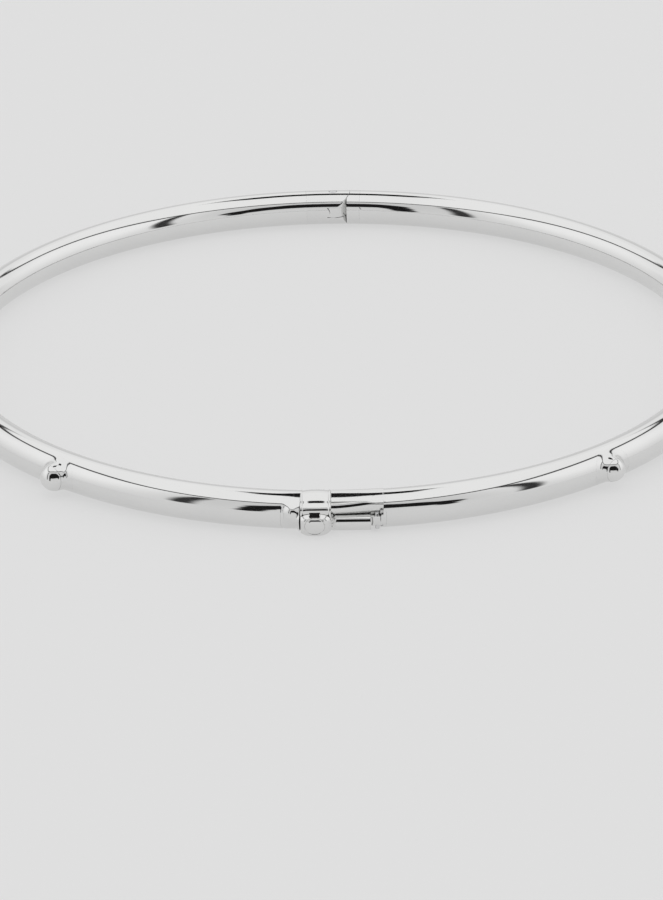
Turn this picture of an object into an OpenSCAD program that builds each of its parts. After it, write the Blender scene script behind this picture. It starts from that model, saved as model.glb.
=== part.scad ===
// Hinged round bangle: two hollow half hoops joined by a flush knuckle hinge at the back
// and closed at the front by a tongue, a keeper collar and a swinging lever with a bead.
// Origin: centre of the hoop. +Z is up, the clasp faces -Y and the hinge is at +Y.
// Azimuth 0 is the middle of the clasp, and it grows towards +X.

/* [Hoop] */
// Radius of the hoop's centreline
hoop_r = 31.75; // [30:0.25:36]
// Outer diameter of the round tube
tube_d = 3; // [2.9:0.05:3.2]
// Wall of the tube
tube_wall = 0.45; // [0.35:0.05:0.6]

/* [Buds] */
// Azimuth of the two side buds, left and right of the clasp
bud_azimuth = 41.2; // [25:0.1:70]
// Radius of a bud at its widest
bud_r = 1.08; // [0.95:0.01:1.12]
// Distance of a bud's centre from the centreline of the tube
bud_out = 1.6; // [1.55:0.01:1.75]
// Radius of the flare where a bud meets the tube
flare_r = 1.4; // [1.2:0.05:1.45]

/* [Clasp] */
// Half length of the clasp between the ends of the two tubes
clasp_half = 3.9; // [3.85:0.01:4.1]
// Length of the keeper collar
collar_len = 2.39; // [2.2:0.01:2.45]
// Radius of the collar at its waist
collar_r = 1.46; // [1.42:0.01:1.5]
// Distance of the collar's middle to the left of azimuth 0
collar_x = 1.375; // [1.3:0.005:1.4]
// Radius of the tongue
tongue_r = 0.46; // [0.38:0.01:0.46]
// Radial gap between the tongue and its socket
tongue_gap = 0.1; // [0.08:0.01:0.1]
// Radius of the lever's arm
arm_r = 0.48; // [0.4:0.01:0.5]
// Radius of the lever pin
lever_pin_r = 0.17; // [0.15:0.01:0.2]
// Radius of the latch tooth
tooth_r = 0.2; // [0.15:0.01:0.22]

/* [Hinge] */
// Radius of the hinge pin
hinge_pin_r = 0.36; // [0.3:0.01:0.45]
// Height of the centre knuckle
centre_knuckle_h = 0.9; // [0.7:0.05:1]
// Gap between two knuckles
knuckle_gap = 0.03; // [0.02:0.01:0.04]

/* [Hidden] */
$fn = 72;

// Gap of a soldered seat and of a running fit
seat = 0.01;
running = 0.04;

tube_r = tube_d / 2;
bore_r = tube_r - tube_wall;
spigot_r = bore_r - 2 * seat;
clasp_az = asin(clasp_half / hoop_r);
// Each tube starts behind its terminal's flange
flange_az = 0.6;
tube_az = clasp_az + flange_az;
spigot_az = 3;
// The tubes end this far from the hinge pin, and the full section of a hinge block nearer to it
hinge_tube_az = asin(2.4 / hoop_r);
hinge_body = 1.3;
knuckle_clear_r = tube_r + 0.06;

// Parts of a bud, measured along its own axis from the tube's centreline
cup_rim = bud_out + 0.28;
bead_seat = bud_out + 0.16;
bead_r = bud_r - 0.08;
bead_face = bud_out + 0.84;
peg_r = 0.3;

// The clasp, in a frame at azimuth 0: x along the hoop, out away from the wrist, z up
tongue_out = 0.6;
tongue_z = 0.36;
tongue_tip_x = -2.25;
tongue_bend_x = 0.3;
tongue_arc_r = 18;
tongue_arc = 11;
rail_out = -0.25;
rail_z = 0.92;
rail_r = 0.5;
collar_gap = 0.06;
collar_left = -collar_x - collar_len / 2;
collar_right = -collar_x + collar_len / 2;
rim_r = collar_r - 0.04;
rim_w = 0.16;
latch_x = -1.33;
latch_z = -0.36;
// The lever's bud stands this much further out than a side bud
latch_out = 0.12;
pin_x = 3.37;
pin_out = 0.82;
pin_bottom = -1.24;
pin_top = 0.15;
pin_head_r = 0.3;
knuckle_r = 0.42;
knuckle_bottom = -0.95;
knuckle_top = 0.02;
ear_r = 0.5;
ear_h = 0.24;
ear_gap = 0.04;
arm_end_x = 2.8;
arm_bend_x = 0.6;
arm_z = -0.8;

// A point of the clasp frame as OpenSCAD's x, y, z
function clasp_point(p) = [p.x, -p.y, p.z];

// Place children in the frame of an azimuth: -y outwards, +x along the hoop
module at_azimuth(az) {
    rotate([0, 0, az]) translate([0, -hoop_r, 0]) children();
}

// A round bar that follows the hoop between two azimuths
module hoop_bar(from, to, r, out = 0, z = 0) {
    rotate([0, 0, from - 90])
        rotate_extrude(angle = to - from, $fn = 240)
            translate([hoop_r + out, z]) circle(r = r);
}

// A round bar between two points
module bar(p, q, r) {
    v = q - p;
    translate(p)
        rotate([0, acos(v.z / norm(v)), atan2(v.y, v.x)])
            cylinder(h = norm(v), r = r);
}

// A cylinder that points outwards, from one distance to another
module outward(from, to, r) {
    rotate([90, 0, 0]) translate([0, 0, from]) cylinder(h = to - from, r = r);
}

module tube(from, to, bud_az) {
    difference() {
        hoop_bar(from, to, tube_r);
        hoop_bar(from - 1, to + 1, bore_r);
        at_azimuth(bud_az) outward(0, 2 * tube_r, peg_r + seat);
    }
}

// The flared cup of a bud, with a round recess for its bead and a hole for the peg
module cup_shape(flare) {
    rotate([90, 0, 0])
        rotate_extrude()
            polygon([[0, 0.3], [flare, 0.3], [flare, 0.95], [bud_r + 0.06, bud_out - 0.45],
                [bud_r, bud_out], [bud_r, cup_rim], [bead_r + seat, cup_rim],
                [bead_r + seat, bead_seat], [0, bead_seat]]);
}

module side_cup(az) {
    difference() {
        at_azimuth(az) cup_shape(flare_r);
        hoop_bar(az - 5, az + 5, tube_r + seat);
        at_azimuth(az) outward(0, 2 * tube_r, peg_r + seat);
    }
}

// A dome with a slightly flattened face, standing on the seat of its cup
module bead_shape() {
    rotate([90, 0, 0])
        rotate_extrude()
            intersection() {
                translate([0, bud_out]) circle(r = bead_r);
                translate([0, bead_seat + seat]) square([bead_r, bead_face - bead_seat - seat]);
            }
}

module side_bead(az) {
    at_azimuth(az) {
        bead_shape();
        outward(tube_r - tube_wall - 0.1, bead_seat + 2 * seat, peg_r);
    }
}

module left_tube() {
    color("silver") tube(hinge_tube_az - 180, -tube_az, -bud_azimuth);
}

module right_tube() {
    color("silver") tube(tube_az, 180 - hinge_tube_az, bud_azimuth);
}

module left_bud_cup() {
    color("silver") side_cup(-bud_azimuth);
}

module right_bud_cup() {
    color("silver") side_cup(bud_azimuth);
}

module left_bud_bead() {
    color("gainsboro") side_bead(-bud_azimuth);
}

module right_bud_bead() {
    color("gainsboro") side_bead(bud_azimuth);
}

// Flange that closes a tube's mouth, with a spigot inside the bore, left or right by side
module end_plug(side) {
    from = side > 0 ? clasp_az : -tube_az + seat;
    to = side > 0 ? tube_az - seat : -clasp_az;
    hoop_bar(from, to, tube_r);
    hoop_bar(min(side * clasp_az, side * (tube_az + spigot_az)),
        max(side * clasp_az, side * (tube_az + spigot_az)), spigot_r);
}

// End of the left tube: a flange, a round shoulder up to the collar and two lobes on it
module left_terminal() {
    color("silver")
        difference() {
            union() {
                end_plug(-1);
                hoop_bar(-clasp_az - 0.2, asin(collar_left / hoop_r) + 0.2, 1.12, -0.18, 0.2);
                at_azimuth(-6.1) translate([0, -0.72, 0.02]) sphere(r = 0.55);
                at_azimuth(-5.9) translate([0, -0.62, -0.68]) sphere(r = 0.5);
            }
            at_azimuth(0)
                translate([collar_left, -2, -2]) cube([1, 4, 4]);
        }
}

// Barrel with two rims, a blind socket for the tongue and a hole for the latch tooth
module keeper_collar() {
    half = collar_len / 2;
    color("silver")
        at_azimuth(0)
            difference() {
                translate([-collar_x, 0, 0])
                    rotate([0, 90, 0])
                        rotate_extrude()
                            polygon([[0, -half], [rim_r, -half], [rim_r, rim_w - half],
                                [rim_r - 0.05, rim_w - half + 0.05], [collar_r, -half / 3],
                                [collar_r, half / 3], [rim_r - 0.05, half - rim_w - 0.05],
                                [rim_r, half - rim_w], [rim_r, half], [0, half]]);
                translate([tongue_tip_x - 0.06, -tongue_out, tongue_z])
                    rotate([0, 90, 0]) cylinder(h = collar_len, r = tongue_r + tongue_gap);
                translate([latch_x, 0, latch_z]) outward(1, 2, tooth_r + 0.06);
            }
}

// The tongue is straight where it enters the collar, then rises in an arc to the terminal
module tongue_shape(grow) {
    translate([tongue_tip_x, -tongue_out, tongue_z])
        rotate([0, 90, 0]) cylinder(h = tongue_bend_x - tongue_tip_x, r = tongue_r + grow);
    translate([tongue_bend_x, -tongue_out, tongue_z + tongue_arc_r])
        rotate([90, 0, 0]) rotate([0, 0, -90])
            rotate_extrude(angle = tongue_arc, $fn = 360)
                translate([tongue_arc_r, 0]) circle(r = tongue_r + grow);
}

module clasp_tongue() {
    color("silver") at_azimuth(0) tongue_shape(0);
}

// One ear of the lever's hinge, from the pin back to the flange
module ear(bottom) {
    translate([pin_x, -pin_out, bottom]) cylinder(h = ear_h, r = ear_r);
    translate([pin_x, -pin_out - ear_r + 0.1, bottom])
        cube([clasp_half - pin_x + 0.1, 2 * ear_r - 0.1, ear_h]);
}

// End of the right tube: a flange, the top rail and two ears for the lever
module right_terminal() {
    rail_start = asin((collar_right + collar_gap) / hoop_r);
    color("silver")
        difference() {
            union() {
                end_plug(1);
                hoop_bar(rail_start, clasp_az + 0.2, rail_r, rail_out, rail_z);
                hoop_bar(rail_start, clasp_az + 0.2, 0.62, -0.72, -0.1);
                at_azimuth(0) {
                    ear(knuckle_bottom - ear_gap - ear_h);
                    ear(knuckle_top + ear_gap);
                }
            }
            at_azimuth(0) {
                tongue_shape(seat);
                translate([pin_x, -pin_out, pin_top + seat - 4])
                    cylinder(h = 4, r = lever_pin_r + seat);
                translate([pin_x, -pin_out, knuckle_bottom - ear_gap])
                    cylinder(h = knuckle_top - knuckle_bottom + 2 * ear_gap, r = knuckle_r + 0.05);
            }
        }
}

module lever_pin() {
    color("silver")
        at_azimuth(0)
            translate([pin_x, -pin_out, 0]) {
                translate([0, 0, pin_bottom]) cylinder(h = pin_top - pin_bottom, r = lever_pin_r);
                intersection() {
                    translate([0, 0, pin_bottom + 0.3]) sphere(r = pin_head_r + 0.1);
                    translate([0, 0, pin_bottom - 1]) cylinder(h = 1, r = pin_head_r);
                }
            }
}

// Space that the keeper collar needs in front of the lever
module collar_space() {
    translate([collar_left - 0.3, 0, 0])
        rotate([0, 90, 0]) cylinder(h = collar_len + 0.3 + collar_gap, r = collar_r + collar_gap);
}

// Knuckle on the pin, a neck, the round arm with a square end, and its bend out to the cup
module lever_arm() {
    end = clasp_point([arm_end_x, pin_out - 0.22, arm_z]);
    bend = clasp_point([arm_bend_x, pin_out - 0.1, arm_z]);
    reach = clasp_point([latch_x + 0.7, 1.62, arm_z + 0.3]);
    neck_h = knuckle_top - knuckle_bottom;
    color("gainsboro")
        at_azimuth(0)
            difference() {
                union() {
                    translate([pin_x, -pin_out, knuckle_bottom])
                        cylinder(h = neck_h, r = knuckle_r);
                    translate([arm_end_x - 0.1, -pin_out - 0.2, knuckle_bottom])
                        cube([pin_x - arm_end_x, 0.5, 0.62]);
                    bar(end, bend, arm_r);
                    translate(bend) sphere(r = arm_r);
                    bar(bend, reach, arm_r - 0.08);
                    translate(reach) sphere(r = arm_r - 0.08);
                }
                translate([pin_x, -pin_out, -2])
                    cylinder(h = 4, r = lever_pin_r + running);
                collar_space();
                translate([latch_x, 0, latch_z]) outward(0.5, 3, bud_r + seat);
            }
}

// Cup of the thumb bead: it lies over the front of the collar
module lever_cup() {
    color("gainsboro")
        at_azimuth(0)
            difference() {
                translate([latch_x, -latch_out, latch_z]) cup_shape(bud_r);
                collar_space();
                translate([latch_x, 0, latch_z]) outward(0, 2, tooth_r + seat);
            }
}

module lever_bead() {
    color("gainsboro") at_azimuth(0) translate([latch_x, -latch_out, latch_z]) bead_shape();
}

// Tooth that is riveted into the cup and drops into the collar when the lever is shut
module latch_tooth() {
    color("silver")
        at_azimuth(0)
            translate([latch_x, 0, latch_z]) outward(1.06, bead_seat + latch_out, tooth_r);
}

// Heights of the hinge that belong to the outer knuckles, above and below the centre one
module outer_levels(h) {
    for (side = [-1, 1])
        translate([0, 0, side * (h / 2 + 2)]) cube([12, 12, 4], center = true);
}

module centre_level(h) {
    cube([12, 12, h], center = true);
}

// Bar of a hinge block and its spigot, on the left (-1) or the right (+1) of the pin
module hinge_bar(side) {
    inner = 180 - 0.4;
    outer = 180 - hinge_tube_az + seat;
    for (span = [[outer, inner, tube_r], [outer - spigot_az, outer + 0.5, spigot_r]])
        hoop_bar(min(side * span[0], side * span[1]), max(side * span[0], side * span[1]),
            span[2]);
}

// What the other block's knuckle needs, in the frame of the pin: its round and the far side
module knuckle_space(side) {
    cylinder(h = 4, r = knuckle_clear_r, center = true);
    translate([side > 0 ? -4 : -hinge_body, -2, -2]) cube([4 + hinge_body, 4, 4]);
}

module left_hinge_block() {
    color("silver")
        difference() {
            union() {
                hinge_bar(-1);
                translate([0, hoop_r, 0]) sphere(r = tube_r);
            }
            translate([0, hoop_r, 0]) {
                cylinder(h = 4, r = hinge_pin_r + seat, center = true);
                intersection() {
                    knuckle_space(-1);
                    centre_level(centre_knuckle_h + 2 * knuckle_gap);
                }
            }
        }
}

module right_hinge_block() {
    color("silver")
        difference() {
            union() {
                hinge_bar(1);
                translate([0, hoop_r, 0])
                    cylinder(h = centre_knuckle_h, r = tube_r - 0.04, center = true);
            }
            translate([0, hoop_r, 0]) {
                cylinder(h = 4, r = hinge_pin_r + running, center = true);
                intersection() {
                    knuckle_space(1);
                    outer_levels(centre_knuckle_h);
                }
            }
        }
}

module hinge_pin() {
    color("gainsboro")
        translate([0, hoop_r, 0])
            intersection() {
                cylinder(h = 4, r = hinge_pin_r, center = true);
                sphere(r = tube_r);
            }
}

left_tube();
left_terminal();
keeper_collar();
left_bud_cup();
left_bud_bead();
left_hinge_block();
hinge_pin();
right_tube();
right_terminal();
clasp_tongue();
right_bud_cup();
right_bud_bead();
right_hinge_block();
lever_pin();
lever_arm();
lever_cup();
lever_bead();
latch_tooth();
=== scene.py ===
import math

import bpy
import numpy as np
from mathutils import Matrix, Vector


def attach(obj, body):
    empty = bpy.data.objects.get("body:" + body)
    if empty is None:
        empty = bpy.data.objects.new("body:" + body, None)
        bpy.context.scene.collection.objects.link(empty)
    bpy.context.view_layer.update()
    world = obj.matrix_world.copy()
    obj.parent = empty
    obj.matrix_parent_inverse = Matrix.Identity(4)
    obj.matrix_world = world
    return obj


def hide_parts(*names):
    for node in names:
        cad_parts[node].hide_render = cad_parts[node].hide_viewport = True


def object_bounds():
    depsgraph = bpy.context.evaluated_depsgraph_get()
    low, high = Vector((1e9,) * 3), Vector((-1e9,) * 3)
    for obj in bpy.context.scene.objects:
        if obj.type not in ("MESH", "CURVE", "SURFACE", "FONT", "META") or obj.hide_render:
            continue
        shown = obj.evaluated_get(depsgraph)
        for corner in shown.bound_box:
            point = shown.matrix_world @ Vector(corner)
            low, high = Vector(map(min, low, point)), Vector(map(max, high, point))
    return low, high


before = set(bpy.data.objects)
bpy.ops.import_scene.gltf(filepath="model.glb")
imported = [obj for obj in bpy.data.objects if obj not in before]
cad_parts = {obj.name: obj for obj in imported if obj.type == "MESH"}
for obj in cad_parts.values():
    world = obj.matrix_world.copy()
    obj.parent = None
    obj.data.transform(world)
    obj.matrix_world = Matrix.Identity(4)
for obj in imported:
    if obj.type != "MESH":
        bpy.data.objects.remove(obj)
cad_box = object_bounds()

# Lengths are in millimetres until a mesh is made. Azimuths run in degrees from the front to the right.
MM = 0.001
HOOP_R = 31.75
TUBE_R = 1.5
WALL = 0.45
SHARP_EDGE = math.radians(38)


# ---------------------------------------------------------------- meshes
def mesh_of(name, verts, faces):
    """A Blender mesh from points in millimetres."""
    mesh = bpy.data.meshes.new(name)
    mesh.from_pydata([tuple(v) for v in np.asarray(verts) * MM], [], [tuple(f) for f in faces])
    return mesh


def shade(mesh):
    """Smooth shading that keeps the real edges sharp."""
    for face in mesh.polygons:
        face.use_smooth = True
    mesh.set_sharp_from_angle(angle=SHARP_EDGE)


def add_piece(name, shape, body, slot):
    """A mesh piece that stands for the CAD node of the same name, in the metal of its slot."""
    verts, faces = shape
    mesh = mesh_of(name + "_look", verts, outward_faces(verts, faces))
    mesh.validate()
    mesh.update()
    piece = bpy.data.objects.new(name + "_look", mesh)
    bpy.context.scene.collection.objects.link(piece)
    shade(mesh)
    mesh.materials.append(METALS[slot])
    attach(piece, body)
    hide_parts(name)
    return piece


def angles(count):
    """Evenly spaced angles once round."""
    return np.linspace(0, 2 * math.pi, count, endpoint=False)


def points(*axes):
    """Points from their coordinates, each a number or an array."""
    return np.stack(np.broadcast_arrays(*axes), axis=-1)


def skin(rings, closed=False):
    """A mesh over rings of equal length; open ends get a fan to their middle."""
    n = len(rings[0])
    count = len(rings)
    verts = [p for ring in rings for p in ring]
    faces = []
    for i in range(count if closed else count - 1):
        a, b = i * n, ((i + 1) % count) * n
        for k in range(n):
            m = (k + 1) % n
            faces.append((a + k, a + m, b + m, b + k))
    if not closed:
        for ring, flip in ((0, True), (count - 1, False)):
            middle = len(verts)
            verts.append(np.mean(rings[ring], axis=0))
            for k in range(n):
                a, b = ring * n + k, ring * n + (k + 1) % n
                faces.append((b, a, middle) if flip else (a, b, middle))
    return np.array(verts), faces


def outward_faces(verts, faces):
    """The faces, turned over if the closed mesh is inside out."""
    volume = 0.0
    for f in faces:
        for i in range(1, len(f) - 1):
            volume += np.dot(verts[f[0]], np.cross(verts[f[i]], verts[f[i + 1]]))
    return faces if volume > 0 else [tuple(reversed(f)) for f in faces]


def join(shapes):
    """Several closed meshes as one."""
    verts, faces, base = [], [], 0
    for v, f in shapes:
        verts.append(v)
        faces += [tuple(i + base for i in face) for face in outward_faces(v, f)]
        base += len(v)
    return np.vstack(verts), faces


def boolean(piece, tools, how="DIFFERENCE"):
    """Cuts closed meshes out of a piece, or adds them, and keeps the result as its mesh."""
    for verts, faces in tools:
        tool = bpy.data.objects.new("tool", mesh_of("tool", verts, outward_faces(verts, faces)))
        bpy.context.scene.collection.objects.link(tool)
        cut = piece.modifiers.new("cut", "BOOLEAN")
        cut.operation = how
        cut.solver = "EXACT"
        cut.object = tool
        bpy.context.view_layer.update()
        result = piece.evaluated_get(bpy.context.evaluated_depsgraph_get())
        shape = bpy.data.meshes.new_from_object(result)
        piece.modifiers.clear()
        piece.data = shape
        bpy.data.objects.remove(tool)
    shade(piece.data)


# ---------------------------------------------------------------- places along the hoop
def hoop_point(az, out, z):
    """Points at azimuths, distances outwards from the tube's middle and heights."""
    a = np.radians(az)
    r = HOOP_R + out
    return points(r * np.sin(a), -r * np.cos(a), z)


def hoop_coords(p):
    """Azimuth, distance outwards from the tube's middle and height of points."""
    az = np.degrees(np.arctan2(p[..., 0], -p[..., 1]))
    return az, np.hypot(p[..., 0], p[..., 1]) - HOOP_R, p[..., 2]


def shrunk(ring, k):
    """A ring round the tube, drawn in towards its middle."""
    az, out, z = hoop_coords(ring)
    return hoop_point(az, out * k, z * k)


def azimuth(x):
    return np.degrees(np.arcsin(np.asarray(x) / HOOP_R))


def sag(x):
    """How far the hoop falls back at a distance to the side of its front."""
    return HOOP_R - np.sqrt(HOOP_R ** 2 - x ** 2)


def clasp(p):
    """Clasp coordinates (x to the right, out to the front, height) of points, or back, as it is a mirror."""
    q = np.array(p, float)
    q[..., 1] = -q[..., 1] - HOOP_R
    return q


def from_clasp(shape):
    verts, faces = shape
    return clasp(verts), faces


# ---------------------------------------------------------------- distance fields
def smooth_min(a, b, k):
    """The union of two fields, blended over a width of about k."""
    h = np.clip(k - np.abs(a - b), 0, None) / k
    return np.minimum(a, b) - h * h * h * k / 6


def smooth_max(a, b, k):
    """The common part of two fields, its edge rounded over a width of about k."""
    return -smooth_min(-a, -b, k)


def d_hoop(p, r=TUBE_R):
    return np.hypot(np.hypot(p[..., 0], p[..., 1]) - HOOP_R, p[..., 2]) - r


def d_ball(p, centre, r):
    return np.linalg.norm(p - np.asarray(centre), axis=-1) - r


def rounded_box(u, v, half_u, middle_v, half_v, r):
    du = np.abs(u) - (half_u - r)
    dv = np.abs(v - middle_v) - (half_v - r)
    return np.hypot(np.maximum(du, 0), np.maximum(dv, 0)) + np.minimum(np.maximum(du, dv), 0) - r


def turned(out, z, centre, angle):
    """Coordinates about a centre in a cross-section, along axes turned by an angle."""
    c, s = math.cos(angle), math.sin(angle)
    u, v = out - centre[0], z - centre[1]
    return u * c + v * s, v * c - u * s


def narrow(low, high, inside, rounds=26):
    """Where a test that holds at low stops holding on the way to high."""
    for _ in range(rounds):
        mid = (low + high) / 2
        within = inside(mid)
        low, high = np.where(within, mid, low), np.where(within, high, mid)
    return (low + high) / 2


def cast(field, origin, direction, reach, steps=80):
    """The outermost crossing of a field along rays, searched from their reach inwards."""
    best = np.zeros(direction.shape[:-1])
    found = np.zeros(best.shape, bool)
    step = reach / steps
    for i in range(steps, -1, -1):
        inside = field(origin + direction * i * step) < 0
        best[inside & ~found] = i * step
        found |= inside
        if found.all():
            break
    t = narrow(best, best + step, lambda t: field(origin + direction * t[..., None]) < 0)
    return origin + direction * t[..., None]


def star(field, centre, reach, rows, columns):
    """A closed mesh of a field that is star shaped from a centre; its poles lie to the left and right."""
    tt, pp = np.meshgrid(np.linspace(0, math.pi, rows + 1)[1:-1], angles(columns), indexing="ij")
    rays = points(np.cos(tt), np.sin(tt) * np.cos(pp), np.sin(tt) * np.sin(pp))
    verts, faces = skin(list(cast(field, np.asarray(centre), rays, reach)))
    verts[-2:] = cast(field, np.asarray(centre), np.array([[1.0, 0, 0], [-1.0, 0, 0]]), reach)
    return verts, faces


def sweep(field, stations, spine, count, reach=3.5):
    """Rings of a bar along the hoop: at each azimuth, rays from the spine find the field's skin."""
    aa, gg = np.meshgrid(np.radians(stations), angles(count), indexing="ij")
    origin = hoop_point(np.degrees(aa), *spine)
    rays = points(np.cos(gg) * np.sin(aa), -np.cos(gg) * np.cos(aa), np.sin(gg))
    return list(cast(field, origin, rays, reach))


# ---------------------------------------------------------------- materials
CLOUD_SCALE = 260
RELIEF = 0.02 * MM


def node_material(name):
    material = bpy.data.materials.new(name)
    material.use_nodes = True
    tree = material.node_tree
    return material, tree, tree.nodes["Principled BSDF"]


def noise(tree, vector, scale, detail, roughness):
    node = tree.nodes.new("ShaderNodeTexNoise")
    node.inputs["Scale"].default_value = scale
    node.inputs["Detail"].default_value = detail
    node.inputs["Roughness"].default_value = roughness
    tree.links.new(vector, node.inputs["Vector"])
    return node.outputs["Fac"]


def metal(name, dark, light, rough, grain, bump, stretch=(1, 1, 1)):
    """A metal with a cloudy tint, and a fine grain in its roughness and relief."""
    material, tree, shader = node_material(name)
    shader.inputs["Metallic"].default_value = 1.0
    where = tree.nodes.new("ShaderNodeTexCoord")
    place = tree.nodes.new("ShaderNodeMapping")
    place.inputs["Scale"].default_value = stretch
    tree.links.new(where.outputs["Object"], place.inputs["Vector"])
    cloud = noise(tree, place.outputs["Vector"], CLOUD_SCALE, 4, 0.5)
    fine = noise(tree, place.outputs["Vector"], grain, 6, 0.7)
    tint = tree.nodes.new("ShaderNodeMix")
    tint.data_type = "RGBA"
    tint.inputs["A"].default_value = (*dark, 1)
    tint.inputs["B"].default_value = (*light, 1)
    tree.links.new(cloud, tint.inputs["Factor"])
    tree.links.new(tint.outputs["Result"], shader.inputs["Base Color"])
    gloss = tree.nodes.new("ShaderNodeMapRange")
    gloss.inputs["From Min"].default_value = 0.3
    gloss.inputs["From Max"].default_value = 0.7
    gloss.inputs["To Min"].default_value, gloss.inputs["To Max"].default_value = rough
    tree.links.new(fine, gloss.inputs["Value"])
    tree.links.new(gloss.outputs["Result"], shader.inputs["Roughness"])
    relief = tree.nodes.new("ShaderNodeBump")
    relief.inputs["Strength"].default_value = bump
    relief.inputs["Distance"].default_value = RELIEF
    tree.links.new(fine, relief.inputs["Height"])
    tree.links.new(relief.outputs["Normal"], shader.inputs["Normal"])
    return material


# Each metal by its slot: name, darker and lighter tint, roughness, grain, bump
METALS = {
    "silver_tube": metal("polished_silver_tube", (0.78, 0.78, 0.775), (0.82, 0.82, 0.815),
                         (0.03, 0.07), 1800, 0.02),
    "silver_cast": metal("polished_silver_cast", (0.77, 0.77, 0.765), (0.81, 0.81, 0.805),
                         (0.04, 0.09), 2400, 0.03),
    "silver_bead": metal("polished_silver_bead", (0.78, 0.78, 0.775), (0.82, 0.82, 0.815),
                         (0.03, 0.06), 2600, 0.02),
    "steel_pin": metal("brushed_steel_pin", (0.68, 0.68, 0.69), (0.78, 0.78, 0.78),
                       (0.12, 0.28), 6000, 0.1, stretch=(1, 1, 0.15)),
}

# ---------------------------------------------------------------- tubes
# Beside the clasp the tube is dressed nearly flat where it faces up and to the front
FACET = math.radians(69.6)
FACET_CLEAR = 0.12
FACET_EDGE = 0.12
# On each side of FACET_MEET: the place where the flat lies deepest, its depth there, and its length
FACET_MEET = -1.2
LEFT_FACET = (-2.2, 0.165, 2.2)
RIGHT_FACET = (0.3, 0.158, 4.2)
DRESSED_AZ = 16
LIP = 0.03
# Above this part of the tube's height its lip is left nearly square, so that the joint shows as a hairline
LIP_TOP = 0.3
HAIRLINE = 0.001
# The tubes end where the terminals of the clasp and the blocks of the hinge begin
CLASP_AZ = float(azimuth(3.9))
HINGE_AZ = 180 - float(azimuth(2.4))


def facet_height(x, middle, depth, length):
    return FACET_CLEAR - depth * np.exp(-((x - middle) / length) ** 2)


def dressed(az, out, z):
    """Distance to the skin of the tube, with its flat beside the clasp."""
    x = HOOP_R * np.sin(np.radians(az))
    height = TUBE_R + np.where(x < FACET_MEET, facet_height(x, *LEFT_FACET), facet_height(x, *RIGHT_FACET))
    face = out * math.cos(FACET) + z * math.sin(FACET) - height
    return smooth_max(np.hypot(out, z) - TUBE_R, face, FACET_EDGE)


def tube_mesh(start, stop, columns=360, around=96):
    """A hollow tube between two azimuths, with a small bevel at both ends."""
    step = math.degrees(LIP / HOOP_R)
    stations = np.concatenate([[start], np.linspace(start + step, stop - step, columns), [stop]])
    g = angles(around)
    rings = []
    for i, az in enumerate(stations):
        r = np.full(around, TUBE_R)
        if abs(az) < DRESSED_AZ:
            r = narrow(r - 0.1, r + 0.01, lambda t: dressed(az, t * np.cos(g), t * np.sin(g)) < 0)
        if i in (0, len(stations) - 1):
            r = r - np.where(np.sin(g) < LIP_TOP, LIP, HAIRLINE)
        rings.append(hoop_point(az, r * np.cos(g), r * np.sin(g)))
    bore = TUBE_R - WALL
    for az in stations[::-1]:
        rings.append(hoop_point(az, bore * np.cos(g), bore * np.sin(g)))
    return skin(rings, closed=True)


add_piece("left_tube", tube_mesh(-HINGE_AZ, -CLASP_AZ), "left_half", "silver_tube")
add_piece("right_tube", tube_mesh(CLASP_AZ, HINGE_AZ), "right_half", "silver_tube")

# ---------------------------------------------------------------- side buds
BUD_FILLET = 0.85
# Each bud is dressed a little flatter on the side that faces up and to the front
FLAT_NORMAL = np.array([0, -0.883, 0.470])
FLAT_DEPTH = 0.98
FLAT_BLEND = 0.4
# Rims lie deeper under the flat, by as much as its soft edge takes away and a little more
FLAT_SINK = 0.07
# The rim of the cup, by its height over the ball's middle
BUD_RIM = 0.26
# The skirt ends on the tube a little beyond the reach of the fillet: length along it, angle round it
SKIRT_END = (1.95, math.radians(66))
# Rays for the skirt start on a small circle inside the tube: radius, height
SKIRT_PIVOT = (0.35, 0.4)
SKIRT_BURIED = 0.06
CUP_FLOOR = 1.3
PEG_R = 0.28
PEG_FOOT = 1.1
# Up the wall of the cup's recess: radius and height from the rim's, and how far it is sunk under the flat
CUP_LIP = ((-0.09, -0.16, 0.08), (-0.075, -0.06, 0.06), (-0.03, 0.004, 0.02))
# The underside of the bead, in the same way
BEAD_LIP = ((-0.11, -0.14, 0.1), (-0.095, -0.02, 0.08), (-0.025, 0.012, 0.02))
# The ring at the middle of a closed end has this radius
MIDDLE_R = 0.02


def at_azimuth(az, tilt):
    """Places points by their distances along the hoop, across it, and outwards along an axis tilted up."""
    a, t = math.radians(az), math.radians(tilt)
    along = np.array([math.cos(a), math.sin(a), 0])
    flat = np.array([math.sin(a), -math.cos(a), 0])
    up = np.array([0, 0, 1.0])
    axis = math.cos(t) * flat + math.sin(t) * up
    across = -math.sin(t) * flat + math.cos(t) * up

    def place(x, y, h):
        x, y, h = np.broadcast_arrays(x, y, h)
        return HOOP_R * flat + h[..., None] * axis + x[..., None] * along + y[..., None] * across

    return place


def bud_body(p, centre, r):
    return smooth_max(d_ball(p, centre, r), (p - centre) @ FLAT_NORMAL - FLAT_DEPTH * r, FLAT_BLEND)


def bud_ring(place, centre, bud_r, g, r, h, sunk):
    """A ring of a bud at a radius and height, pressed back where it stands out of the flat."""
    ring = place(r * np.cos(g), r * np.sin(g), h)
    over = (ring - centre) @ FLAT_NORMAL - (FLAT_DEPTH * bud_r - sunk - FLAT_SINK)
    return ring - np.maximum(over, 0)[..., None] * FLAT_NORMAL


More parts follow.
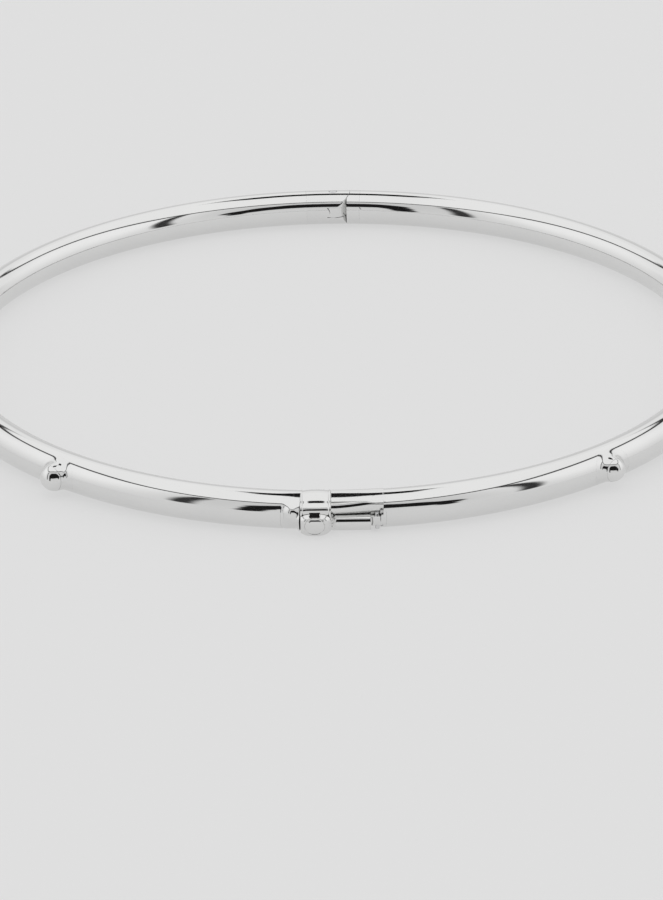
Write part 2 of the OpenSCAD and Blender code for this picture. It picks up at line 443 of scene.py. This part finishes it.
def bud_cup(place, centre, bud_r, rim, rim_r, count=96, rows=30):
    """A skirt that leaves the tube in a fillet and runs up a ball to its rim, with a recess for the bead."""
    def field(p):
        return smooth_min(d_hoop(p), bud_body(p, centre, bud_r), BUD_FILLET)

    g = angles(count)
    end_along, end_across = SKIRT_END[0] * np.cos(g), TUBE_R * np.sin(SKIRT_END[1] * np.sin(g))
    end_h = TUBE_R * np.cos(SKIRT_END[1] * np.sin(g))
    phi = np.arctan2(end_across, end_along)
    pivot_r, pivot_h = SKIRT_PIVOT
    start = np.arctan2(rim - pivot_h, rim_r - pivot_r)
    stop = np.arctan2(end_h - pivot_h, np.hypot(end_along, end_across) - pivot_r)
    origin = place(pivot_r * np.cos(phi), pivot_r * np.sin(phi), pivot_h)
    rings = [bud_ring(place, centre, bud_r, phi, MIDDLE_R, rim + CUP_LIP[0][1], CUP_LIP[0][2])]
    for dr, dh, sunk in CUP_LIP:
        rings.append(bud_ring(place, centre, bud_r, phi, rim_r + dr, rim + dh, sunk))
    for t in np.linspace(0, 1, rows):
        psi = start + (stop - start) * t
        r = pivot_r + np.cos(psi)
        there = place(r * np.cos(phi), r * np.sin(phi), pivot_h + np.sin(psi))
        rings.append(cast(field, origin, there - origin, reach=3.0))
    _, sunk_out, sunk_z = hoop_coords(rings[-1])
    rings.append(shrunk(rings[-1], (TUBE_R - SKIRT_BURIED) / np.hypot(sunk_out, sunk_z)))
    rings.append(place(MIDDLE_R * np.cos(phi), MIDDLE_R * np.sin(phi), CUP_FLOOR))
    return skin(rings)


def bud_bead(place, centre, bud_r, rim, rim_r, count=96, rows=34):
    """A ball that stands in the cup on its peg."""
    g = angles(count)
    top_of_peg = rim + BEAD_LIP[0][1]
    profile = [(MIDDLE_R, PEG_FOOT, 0.1), (PEG_R, PEG_FOOT, 0.1), (PEG_R, top_of_peg, 0.1)]
    profile += [(rim_r + dr, rim + dh, sunk) for dr, dh, sunk in BEAD_LIP]
    rings = [bud_ring(place, centre, bud_r, g, r, h, sunk) for r, h, sunk in profile]
    for t in np.linspace(math.asin(BUD_RIM + 0.02 / bud_r), math.radians(89), rows):
        rays = place(math.cos(t) * np.cos(g), math.cos(t) * np.sin(g), math.sin(t)) - place(0, 0, 0)
        rings.append(cast(lambda p: bud_body(p, centre, bud_r), centre, rays, reach=1.5 * bud_r))
    return skin(rings)


# Azimuth, tilt of the axis, radius of the ball, and distance of its middle from the tube's
for side, az, tilt, bud_r, out in (("left", -41.1, 0.0, 1.10, 1.60), ("right", 41.3, 1.0, 0.98, 1.50)):
    place = at_azimuth(az, tilt)
    rim = out + BUD_RIM * bud_r
    bud = (place, place(0, 0, out), bud_r, rim, bud_r * math.sqrt(1 - BUD_RIM ** 2))
    add_piece(side + "_bud_cup", bud_cup(*bud), side + "_half", "silver_cast")
    add_piece(side + "_bud_bead", bud_bead(*bud), side + "_half", "silver_bead")

# ---------------------------------------------------------------- clasp
# From here on, places at the clasp are given in clasp coordinates: x, out, height.
# Its pieces stay between these heights
TOP = 1.494
BOTTOM = -1.48
# The bead's middle (x), the tooth behind it (x, height), and the pin of the lever (x, out)
BEAD_X = -1.45
TOOTH = (-1.33, -0.36)
PIN = (3.37, 0.82)


def section(x, centre, half, count, power):
    """A ring across the clasp at x, a superellipse about a centre."""
    g = angles(count)
    u = np.sign(np.cos(g)) * np.abs(np.cos(g)) ** (2 / power)
    v = np.sign(np.sin(g)) * np.abs(np.sin(g)) ** (2 / power)
    return points(x, centre[0] + half[0] * u, centre[1] + half[1] * v)


def bar_profile(r, span, bevel):
    """Radius and height up the side of a closed round bar with bevelled ends."""
    low, high = span
    return ((r * 0.02, low), (r - bevel, low), (r, low + bevel), (r, high - bevel), (r - bevel, high),
            (r * 0.02, high))


def upright_bar(centre, span, r, bevel=0.04, count=48):
    """A round bar about an upright axis at (x, out)."""
    g = angles(count)
    return skin([points(centre[0] + q * np.cos(g), centre[1] + q * np.sin(g), h)
                 for q, h in bar_profile(r, span, bevel)])


def outward_bar(centre, span, r, bevel=0.04, count=48):
    """A round bar that points outwards at (x, height)."""
    g = angles(count)
    return skin([points(centre[0] + q * np.cos(g), h, centre[1] + q * np.sin(g))
                 for q, h in bar_profile(r, span, bevel)])


# ---- the collar, a barrel with a bead at each end
COLLAR = (-2.57, -0.18)
COLLAR_MID = (0.12, 0.02)
COLLAR_HALF = (1.59, 1.31)
COLLAR_TURN = math.radians(-8)
COLLAR_POWER = 3.4
BARREL_SWELL = 0.042
# From an end of the collar inwards: distance, scale of the section
COLLAR_END = ((0, 0.955), (0.03, 0.985), (0.09, 0.992), (0.16, 0.982), (0.21, 0.965))
BARREL_START = 0.23
SOCKET_MID = (0.45, 0.46)
SOCKET_HALF = (0.81, 0.69)
SOCKET_POWER = 2.6
SOCKET_END = -2.31


def collar_section(out, z):
    a, b = turned(out, z, COLLAR_MID, COLLAR_TURN)
    power = COLLAR_POWER
    shape = (np.abs(a / COLLAR_HALF[0]) ** power + np.abs(b / COLLAR_HALF[1]) ** power) ** (1 / power)
    return (shape - 1) * 1.4


def collar_mesh(count=128, rows=25):
    left, right = COLLAR
    profile = [(left, 0.86)] + [(left + x, k) for x, k in COLLAR_END]
    for t in np.linspace(-1, 1, rows):
        x = (left + right) / 2 + t * ((right - left) / 2 - BARREL_START)
        profile.append((x, 1 - BARREL_SWELL * t * t))
    profile += [(right - x, k) for x, k in reversed(COLLAR_END)]
    g = angles(count)
    centre = np.array([0, *COLLAR_MID])
    rays = points(0, np.cos(g), np.sin(g))
    ring = cast(lambda q: collar_section(q[..., 1], q[..., 2]), centre, rays, reach=2.5) - centre
    rings = [centre + ring * k + np.array([x, 0, 0]) for x, k in profile]
    bevel = 0.03
    for x, wider in ((right, bevel), (right - bevel, 0), (SOCKET_END, 0)):
        half = (SOCKET_HALF[0] + wider, SOCKET_HALF[1] + wider)
        rings.append(section(x, SOCKET_MID, half, count, SOCKET_POWER))
    return skin(rings)


collar = add_piece("keeper_collar", from_clasp(collar_mesh()), "left_half", "silver_cast")
boolean(collar, [from_clasp(outward_bar(TOOTH, (0.9, 2.6), 0.26))])

# ---- the tongue, the middle strand, which enters the collar: its ends, and the length of its rounded tip
TONGUE = (-1.95, 3.95)
TONGUE_TIP = 0.3
TONGUE_HALF = 0.75
# A flat faces up and to the front: angle, distance from the middle
TONGUE_FACE, TONGUE_FACE_OUT = 0.52, 0.708
TONGUE_BOTTOM = -0.035


def tongue_centre(x):
    """Middle (out, height), and half heights above and below it, of the middle strand."""
    t = np.clip((x - 0.1) / 3.3, 0, 1.15) ** 1.4
    return 0.45 - 0.16 * t, 0.48 + 0.34 * t, 0.62, 0.54 + 0.32 * t


def tongue_field(p):
    q = clasp(p)
    x, out, z = q[..., 0], q[..., 1], q[..., 2]
    mid_out, mid_z, above, below = tongue_centre(x)
    half = np.where(z > mid_z, above, below)
    bar = (np.hypot((out - mid_out) / TONGUE_HALF, (z - mid_z) / half) - 1) * 0.62
    face = (out - mid_out) * math.cos(TONGUE_FACE) + (z - mid_z) * math.sin(TONGUE_FACE) - TONGUE_FACE_OUT
    bar = smooth_max(bar, face, 0.09)
    bar = smooth_max(bar, TONGUE_BOTTOM - z, 0.08)
    return smooth_max(bar, d_hoop(p, 1.49), 0.04)


def tongue_mesh(rows=92, tip_rows=9, count=72):
    g = angles(count)
    rays = points(0, -np.cos(g), np.sin(g))
    rings = []
    for x in np.linspace(*TONGUE, rows):
        middle = clasp(np.array([x, *tongue_centre(x)[:2]]))
        rings.append(cast(tongue_field, middle, rays, reach=1.4))
    first, middle = rings[0], clasp(np.array([0, *tongue_centre(TONGUE[0])[:2]]))
    for t in np.linspace(0.1, 1, tip_rows):
        tip = middle + (first - middle) * math.cos(0.98 * t * math.pi / 2) ** 0.7
        tip[:, 0] = TONGUE[0] - TONGUE_TIP * math.sin(t * math.pi / 2)
        rings.insert(0, tip)
    return skin(rings)


add_piece("clasp_tongue", tongue_mesh(), "right_half", "silver_cast")

# ---- the flared base of the bead, which the lobes of the left terminal carry on
BASE_MID = (1.10, -0.33)
BASE_TURN = math.radians(-19)
BASE_LENGTH = 1.42
BASE_DEPTH = 1.12
BASE_UP = 0.98
BASE_DOWN = 1.19
BASE_POWER = 2.7
BASE_TOP_POWER = 4.5
# A small flat tab stands on its top: half length, middle and half height, corner; then middle and half depth
TAB = (0.43, 0.5, 0.56, 0.03)
TAB_MID, TAB_HALF = 0.36, 0.56


def base_field(q):
    """An upright oblong form, its top edge nearly square."""
    a, b = turned(q[..., 1], q[..., 2], BASE_MID, BASE_TURN)
    x = np.abs(q[..., 0] - BEAD_X)
    power = np.where(b > 0, BASE_TOP_POWER, BASE_POWER)
    half = np.where(b > 0, BASE_UP, BASE_DOWN)
    across = (np.abs(a / BASE_DEPTH) ** power + np.abs(b / half) ** power) ** (1 / power)
    base = (((x / BASE_LENGTH) ** BASE_POWER + across ** BASE_POWER) ** (1 / BASE_POWER) - 1) * 1.1
    tab = smooth_max(rounded_box(x, b, *TAB), np.abs(a - TAB_MID) - TAB_HALF, 0.03)
    return smooth_max(smooth_min(base, tab, 0.03), BOTTOM - q[..., 2], 0.03)


# ---- the cast ends of the two tubes
LOBE = (-3.16, 0.84, 0.20)
LOBE_R = 0.76
# The left end meets the collar, its top a little further right than the rest
LEFT_FACE = -2.535
LEFT_STEP = 0.08
LEFT_STEP_Z = 0.75
# A fine line where it meets the tube, low in front
SEAM_X = -3.86
SEAM_TOP = 0.5
SPIGOT = 0.985
SPIGOT_AZ = (0.02, 0.15)
# The right end is open in front from its top rail down, and closed all round from here
RAIL_BOTTOM = 1.0
CLOSED_X = 3.60
# An ear under the knuckle holds the pin
EAR = (-1.24, -0.99)
EAR_R = 0.5
EAR_BEVEL = 0.03
# The ear runs back to the terminal: how much further right, and how much further in
EAR_RUN = (0.6, 0.12)
# The pocket that the lever's knuckle turns in
POCKET = (-0.975, -0.036)
POCKET_R = 0.47


def step_between(value, edge, soft):
    """1 where a value is below an edge, 0 above it, with a soft change."""
    return 1 / (1 + np.exp((value - edge) / soft))


def left_terminal_field(p):
    q = clasp(p)
    x, z = q[..., 0], q[..., 2]
    # Low in front it swells out in two lobes towards the bead
    body = smooth_min(dressed(*hoop_coords(p)), d_ball(q, LOBE, LOBE_R), 0.4)
    body = smooth_min(body, base_field(q * np.array([0.9, 1, 1]) - np.array([0.253, 0, 0])), 0.5)
    body = smooth_max(body, x - LEFT_FACE - LEFT_STEP * step_between(-z, -LEFT_STEP_Z, 0.03), 0.01)
    body = smooth_max(body, BOTTOM - z, 0.03)
    body = body + 0.03 * np.exp(-((x - SEAM_X) / 0.035) ** 2) * step_between(z, SEAM_TOP, 0.05)
    return smooth_max(body, z - TOP, 0.02)


def right_terminal_field(p):
    """A rail along the top and the inner side, closed all round beyond the lever's pin."""
    az, out, z = hoop_coords(p)
    tube = dressed(az, out, z)
    rail = smooth_max(tube, (RAIL_BOTTOM - z) + 0.05 * out, 0.2)
    inner = smooth_max(tube, out - 0.02, 0.25)
    closed = smooth_max(tube, CLOSED_X + 0.25 * np.clip(z / 0.2, 0, 1) - p[..., 0], 0.05)
    body = smooth_min(smooth_min(rail, inner, 0.2), closed, 0.06)
    return smooth_max(body, np.abs(z) - TOP, 0.02)


def terminal_mesh(field, stations, spigot, spine):
    """A cast end; the two rings at its tube, given by their places in the row, form a spigot."""
    rings = sweep(field, stations, spine, 144)
    for i in spigot:
        rings[i] = shrunk(rings[i], SPIGOT)
    return skin(rings)


def ear_mesh(count=64):
    """A flat tab with a round end on the lever's pin, running back into the terminal."""
    g = angles(count)
    back = np.cos(g) > 0
    low, high = EAR
    rings = []
    for z, inset in ((low, 0.3), (low, EAR_BEVEL), (low + EAR_BEVEL, 0.0),
                     (high - EAR_BEVEL, 0.0), (high, EAR_BEVEL), (high, 0.3)):
        r = EAR_R - inset
        x = PIN[0] + r * np.cos(g) + np.where(back, EAR_RUN[0], 0)
        out = PIN[1] + r * np.sin(g) - np.where(back, EAR_RUN[1], 0)
        limit = math.sqrt(TUBE_R ** 2 - z ** 2) - 0.02 - inset * 0.5 - sag(x)
        rings.append(points(x, np.minimum(out, limit), z))
    return skin(rings)


near, far = SPIGOT_AZ
left_stations = np.concatenate([[-CLASP_AZ - far, -CLASP_AZ - near],
                                np.linspace(-CLASP_AZ, azimuth(-3.75), 16)[:-1],
                                np.linspace(azimuth(-3.75), azimuth(-2.5), 100)])
add_piece("left_terminal", terminal_mesh(left_terminal_field, left_stations, (0, 1), (0.0, 0.0)),
          "left_half", "silver_cast")

rail_start = azimuth(COLLAR[1] + 0.02)
right_stations = np.concatenate([[rail_start], np.linspace(rail_start + 0.03, azimuth(3.5), 60)[:-1],
                                 np.linspace(azimuth(3.5), CLASP_AZ, 24), [CLASP_AZ + near, CLASP_AZ + far]])
right_end = terminal_mesh(right_terminal_field, right_stations, (-2, -1), (-0.75, 0.9))
terminal = add_piece("right_terminal", join([right_end, from_clasp(ear_mesh())]), "right_half", "silver_cast")
boolean(terminal, [from_clasp(upright_bar(PIN, POCKET, POCKET_R, 0.01, 96))])

# ---- the lever is one smooth form, an arm with a square end that runs into the base of the bead
ARM_MID = (0.60, -0.755)
ARM_HALF = (0.64, 0.675)
ARM_FACE, ARM_FACE_OUT = 0.5, 0.645
ARM_TOP = -0.08
ARM_START, ARM_END = -1.0, 2.9
# Rays that find the arm's skin start here
ARM_SPINE = (0.62, -0.74)
# Towards the bead the arm moves by this much (out, height), from a start over a length
ARM_CLIMB = (0.75, 0.5)
CLIMB_START, CLIMB_LENGTH = 0.25, 1.3
SPLIT = 0.12
# A round button is set in the base, its face turned a little down
BEAD_TILT = math.radians(-12)
BEAD_MID = (BEAD_X, 1.30, -0.25)
BEAD_R = 0.76
BEAD_GAP = 0.012
BEAD_SWELL = 0.07
BEAD_FOOT = 0.62
# The eye of the arm on its pin
KNUCKLE = (-0.96, -0.06)
KNUCKLE_R = 0.45


def lever_field(q):
    x, out, z = q[..., 0], q[..., 1], q[..., 2]
    t = np.clip((CLIMB_START - x) / CLIMB_LENGTH, 0, 1)
    t = t * t * (3 - 2 * t)
    u, v = out - (ARM_MID[0] + ARM_CLIMB[0] * t), z - (ARM_MID[1] + ARM_CLIMB[1] * t)
    arm = (np.hypot(u / ARM_HALF[0], v / ARM_HALF[1]) - 1) * 0.65
    arm = smooth_max(arm, u * math.cos(ARM_FACE) + v * math.sin(ARM_FACE) - ARM_FACE_OUT, 0.04)
    arm = smooth_max(arm, ARM_START - x, 0.1)
    arm = smooth_max(arm, z - ARM_TOP - 0.7 * t, 0.05)
    body = smooth_min(base_field(q), arm, 0.3)
    # It clears the collar and stays above the floor
    collar_room = np.maximum(collar_section(out, z) - 0.03, x - COLLAR[1] - 0.1)
    body = smooth_max(smooth_max(body, -collar_room, 0.03), BOTTOM - z, 0.03)
    return smooth_max(body, COLLAR[0] + 0.03 - x, 0.005)


def arm_mesh(count=96, rows=46):
    g = angles(count)
    rays = points(0, np.cos(g), np.sin(g))
    profile = [(ARM_END, 0.95), (ARM_END - 0.02, 0.985), (ARM_END - 0.06, 1.0)]
    profile += [(x, 1.0) for x in np.linspace(ARM_END - 0.2, SPLIT, rows)]
    rings = []
    for x, k in profile:
        centre = np.array([x, *ARM_SPINE])
        rings.append(centre + (cast(lever_field, centre, rays, reach=1.6) - centre) * k)
    return skin(rings)


def knuckle_mesh(count=72, rows=14):
    """The eye, with a bevel at each end, inside the tube's round."""
    g = angles(count)
    low, high = KNUCKLE
    # Radius, as smaller than the knuckle's, and distance from an end
    end = ((0.15, 0.0), (0.02, 0.0), (0.0, 0.02))
    profile = [(low + dz, KNUCKLE_R - inset) for inset, dz in end]
    profile += [(z, KNUCKLE_R) for z in np.linspace(low + 0.06, high - 0.06, rows)]
    profile += [(high - dz, KNUCKLE_R - inset) for inset, dz in reversed(end)]
    rings = []
    for z, r in profile:
        x = PIN[0] + r * np.cos(g)
        limit = math.sqrt((TUBE_R - 0.015) ** 2 - z ** 2) - sag(x)
        rings.append(points(x, np.minimum(PIN[1] + r * np.sin(g), limit), z))
    return skin(rings)


def neck_mesh():
    """The square neck between the arm and its eye."""
    middle, half = (PIN[1] - 0.14, -0.53), (0.30, 0.40)
    return skin([section(x, middle, half, 32, 3.0) for x in np.linspace(2.6, 3.35, 4)])


def bead_frame(q):
    """Sideways, outwards and upwards from the middle of the bead, along its tilted axis."""
    along, up = turned(q[..., 1], q[..., 2], BEAD_MID[1:], BEAD_TILT)
    return q[..., 0] - BEAD_MID[0], along, up


def bead_field(q):
    x, along, up = bead_frame(q)
    swell = BEAD_SWELL * (1 - (x * x + up * up) / BEAD_R ** 2)
    body = smooth_max(lever_field(q) - swell, np.hypot(x, up) - BEAD_R, 0.04)
    return smooth_max(body, BEAD_FOOT - along, 0.03)


def cup_field(q):
    x, along, up = bead_frame(q)
    recess = np.maximum(np.hypot(x, up) - BEAD_R - BEAD_GAP, BEAD_FOOT - 0.02 - along)
    return smooth_max(smooth_max(lever_field(q), -recess, 0.02), q[..., 0] - SPLIT + 0.012, 0.01)


def pin_mesh():
    """The upright pin of the lever, its lower end slightly domed."""
    g = angles(48)
    profile = ((0.02, -1.25), (0.10, -1.248), (0.15, -1.243), (0.17, -1.235),
               (0.17, 0.12), (0.14, 0.15), (0.02, 0.15))
    return skin([points(PIN[0] + r * np.cos(g), PIN[1] + r * np.sin(g), z) for r, z in profile])


arm = join([from_clasp(part) for part in (arm_mesh(), knuckle_mesh(), neck_mesh())])
cup = star(cup_field, (BEAD_X, 1.62, -0.62), 3.4, 150, 180)
bead = star(bead_field, (BEAD_X, 2.02, -0.40), 2.4, 110, 150)
add_piece("lever_arm", arm, "clasp_lever", "silver_cast")
add_piece("lever_cup", from_clasp(cup), "clasp_lever", "silver_cast")
add_piece("lever_bead", from_clasp(bead), "clasp_lever", "silver_bead")
add_piece("latch_tooth", from_clasp(outward_bar(TOOTH, (1.06, 1.9), 0.2, 0.05)), "clasp_lever", "steel_pin")
add_piece("lever_pin", from_clasp(pin_mesh()), "right_half", "steel_pin")

# ---------------------------------------------------------------- hinge at the back
# The eye of the right block turns in a slot of the left one, about the pin at BACK (x, out)
BACK = (0.0, -2 * HOOP_R)
BLOCK_END = 2.44
RIGHT_BLOCK_START = 1.25
EYE_R = 1.46
EYE_HALF = 0.45
SLOT_R = 1.53
SLOT_HALF = 0.465
# Above and below its eye, the right block is cut back for the round end of the left one
SHOULDER_HALF = 0.452
BOLT_R = 0.36
BOLT_HALF = 1.46
BOLT_HOLE = 0.375
THROUGH = 2.0


def hinge_block(field, xs):
    """A piece of full tube across the back, at distances to the right of the pin."""
    return skin(sweep(field, 180 - azimuth(xs), (0.0, 0.0), 96))


def round_end_field(p):
    """The tube, ended round about the hinge pin on its right."""
    beyond = np.where(p[..., 0] > 0, np.hypot(p[..., 0], p[..., 1] - HOOP_R) - TUBE_R, -1)
    return np.maximum(d_hoop(p), beyond)


def back_bar(low, high, r, bevel=0.04, count=48):
    """An upright bar about the hinge pin."""
    return from_clasp(upright_bar(BACK, (low, high), r, bevel, count))


round_part = TUBE_R * np.sin(np.linspace(0, 1, 60) * math.pi / 2 * 0.995)
left_xs = np.concatenate([np.linspace(-BLOCK_END, 0, 30)[:-1], round_part])
left_block = add_piece("left_hinge_block", hinge_block(round_end_field, left_xs), "left_half", "silver_cast")
boolean(left_block, [back_bar(-SLOT_HALF, SLOT_HALF, SLOT_R, 0.01, 96),
                     back_bar(-THROUGH, THROUGH, BOLT_HOLE)])

right_xs = np.linspace(RIGHT_BLOCK_START, BLOCK_END, 60)
right_block = add_piece("right_hinge_block", hinge_block(d_hoop, right_xs), "right_half", "silver_cast")
boolean(right_block, [back_bar(SHOULDER_HALF, THROUGH, SLOT_R, 0.01, 96),
                      back_bar(-THROUGH, -SHOULDER_HALF, SLOT_R, 0.01, 96)])
boolean(right_block, [back_bar(-EYE_HALF, EYE_HALF, EYE_R, 0.02, 96)], "UNION")
boolean(right_block, [back_bar(-THROUGH, THROUGH, BOLT_HOLE)])
add_piece("hinge_pin", back_bar(-BOLT_HALF, BOLT_HALF, BOLT_R, 0.03), "left_half", "steel_pin")

# ---------------------------------------------------------------- floor
FLOOR_HALF = 3.0
floor_mesh = bpy.data.meshes.new("floor")
floor_z = cad_box[0][2]
corners = [(x * FLOOR_HALF, y * FLOOR_HALF, floor_z) for x, y in ((-1, -1), (1, -1), (1, 1), (-1, 1))]
floor_mesh.from_pydata(corners, [], [(0, 1, 2, 3)])
floor = bpy.data.objects.new("floor", floor_mesh)
bpy.context.scene.collection.objects.link(floor)
paper, _, shader = node_material("pale_floor")
shader.inputs["Base Color"].default_value = (0.27, 0.27, 0.27, 1)
shader.inputs["Emission Color"].default_value = (1, 1, 1, 1)
shader.inputs["Emission Strength"].default_value = 0.53
shader.inputs["Roughness"].default_value = 0.25
shader.inputs["Specular IOR Level"].default_value = 0.0
floor_mesh.materials.append(paper)

# ---------------------------------------------------------------- world
# Tones of the room, from 0, black, to 1
SIDES, FRONT = 1.00, 0.70
BACK_HIGH, BACK_LOW = 0.92, 0.60
TABLE = 0.755
SOFTBOX, SOFTBOX_RIM = 0.96, 0.03
DARK, STAND = 0.012, 0.04

world = bpy.data.worlds.new("studio")
bpy.context.scene.world = world
world.use_nodes = True
wt = world.node_tree
for node in list(wt.nodes):
    wt.nodes.remove(node)


def feed(node, *values):
    """Puts values or links, in order, on a node's inputs."""
    for i, value in enumerate(values):
        if isinstance(value, (int, float)):
            node.inputs[i].default_value = value
        elif value is not None:
            wt.links.new(value, node.inputs[i])


def op(kind, a, b=0.0):
    node = wt.nodes.new("ShaderNodeMath")
    node.operation = kind
    feed(node, a, b)
    return node.outputs[0]


def step_down(value, edge, soft):
    """1 where value is below edge, 0 above it."""
    node = wt.nodes.new("ShaderNodeMapRange")
    node.interpolation_type = "SMOOTHSTEP"
    feed(node, value, edge - soft, edge + soft, 1.0, 0.0)
    return node.outputs[0]


def lerp(a, b, t):
    node = wt.nodes.new("ShaderNodeMix")
    node.data_type = "FLOAT"
    feed(node, t, None, a, b)
    return node.outputs[0]


def length(u, v):
    return op("SQRT", op("ADD", op("MULTIPLY", u, u), op("MULTIPLY", v, v)))


def box_distance(middle_u, middle_v, half_u, half_v, r):
    """Signed distance to a rounded rectangle that lies level overhead."""
    du = op("SUBTRACT", op("ABSOLUTE", op("SUBTRACT", U, middle_u)), half_u - r)
    dv = op("SUBTRACT", op("ABSOLUTE", op("SUBTRACT", V, middle_v)), half_v - r)
    outer = length(op("MAXIMUM", du, 0.0), op("MAXIMUM", dv, 0.0))
    inner = op("MINIMUM", op("MAXIMUM", du, dv), 0.0)
    return op("SUBTRACT", op("ADD", outer, inner), r)


def bar(room, a, b, half_width, tone, soft):
    """The room with a dark bar between two directions (azimuth, elevation), all in degrees."""
    ax, ay, bx, by = np.radians([*a, *b]).tolist()
    squared = (bx - ax) ** 2 + (by - ay) ** 2
    px, py = op("SUBTRACT", az, ax), op("SUBTRACT", el, ay)
    along = op("ADD", op("MULTIPLY", px, (bx - ax) / squared), op("MULTIPLY", py, (by - ay) / squared))
    along = op("MINIMUM", op("MAXIMUM", along, 0.0), 1.0)
    qx = op("SUBTRACT", px, op("MULTIPLY", along, bx - ax))
    qy = op("SUBTRACT", py, op("MULTIPLY", along, by - ay))
    return lerp(room, tone, step_down(length(qx, qy), math.radians(half_width), math.radians(soft)))


def below(angle, edge, soft):
    """1 where an angle is below an edge in degrees, 0 above it."""
    return step_down(angle, math.radians(edge), math.radians(soft))


where = wt.nodes.new("ShaderNodeTexCoord")
split = wt.nodes.new("ShaderNodeSeparateXYZ")
wt.links.new(where.outputs["Generated"], split.inputs[0])
X, Y, Z = split.outputs
# Where a direction meets a level plane one unit overhead
up = op("MAXIMUM", Z, 0.02)
U = op("DIVIDE", X, up)
V = op("DIVIDE", Y, up)
el = op("ARCTAN2", Z, length(X, Y))
az = op("ARCTAN2", X, op("MULTIPLY", Y, -1.0))

# The room: paler to the sides than in front, and darker low down behind the object
sideways = op("ABSOLUTE", az)
room = lerp(SIDES, FRONT, below(sideways, 55, 22))
behind = lerp(BACK_HIGH, BACK_LOW, below(el, 20, 5))
room = lerp(behind, room, below(sideways, 128, 14))
# Towards the horizon the room fades to the tone of the table
room = lerp(room, TABLE, below(el, 13, 26))
# The overhead softbox; its thin dark rim shows in front and at the sides
softbox = box_distance(-0.03, 0.385, 0.70, 1.065, 0.65)
in_front = step_down(V, 0.6, 0.3)
at_sides = op("SUBTRACT", 1.0, step_down(op("ABSOLUTE", op("ADD", U, 0.03)), 0.38, 0.08))
rim = op("MULTIPLY", step_down(op("ABSOLUTE", softbox), 0.055, 0.03), op("MAXIMUM", in_front, at_sides))
room = lerp(room, SOFTBOX_RIM, rim)
room = lerp(room, SOFTBOX, step_down(softbox, -0.05, 0.03))
# The dark opening in its middle
room = lerp(room, DARK, step_down(box_distance(0.0, 0.58, 0.125, 0.19, 0.04), 0.0, 0.012))
# A dark slit between the panels in front, bent down at its ends, with a dark stand on each side
for a, b, half_width in (((-12, 32), (12, 33), 11), ((12, 32), (20, 30), 10), ((20, 30), (29, 23), 8),
                         ((29, 22), (31, 12), 3), ((-12, 31), (-18, 30), 8), ((-18, 30), (-21, 20), 5.5),
                         ((-21, 20), (-23, 6), 4)):
    room = bar(room, a, b, half_width, DARK, 1.2)
for a, b in (((-44, 45), (-42, 10)), ((64, 52), (55, 12))):
    room = bar(room, a, b, 3.5, STAND, 2.0)
lamp = wt.nodes.new("ShaderNodeBackground")
wt.links.new(room, lamp.inputs["Color"])
lamp.inputs["Strength"].default_value = 1.0
sheet = wt.nodes.new("ShaderNodeOutputWorld")
wt.links.new(lamp.outputs[0], sheet.inputs["Surface"])
bpy.context.scene.view_settings.view_transform = "Standard"

# ---------------------------------------------------------------- camera
# It looks down at the clasp from in front and from afar. Its place is counted from the middle of the hoop,
# along its own axes (right, up, back), and its turns are in radians.
CAMERA_PLACE = np.array([-0.146, -8.536, 401.61])
LOOK_DOWN = 0.4265
ROLL = -0.0146
TURN = math.radians(0.34)
LENS = 193.12
camera_data = bpy.data.cameras.new("camera")
camera_data.lens = LENS
camera_data.sensor_width = 36
camera_data.clip_start = 0.01
camera_data.clip_end = 20
camera = bpy.data.objects.new("camera", camera_data)
camera.matrix_world = (Matrix.Rotation(TURN, 4, "Z") @ Matrix.Rotation(math.pi / 2 - LOOK_DOWN, 4, "X")
                       @ Matrix.Rotation(ROLL, 4, "Z") @ Matrix.Translation(CAMERA_PLACE * MM))
bpy.context.scene.collection.objects.link(camera)
bpy.context.scene.camera = camera
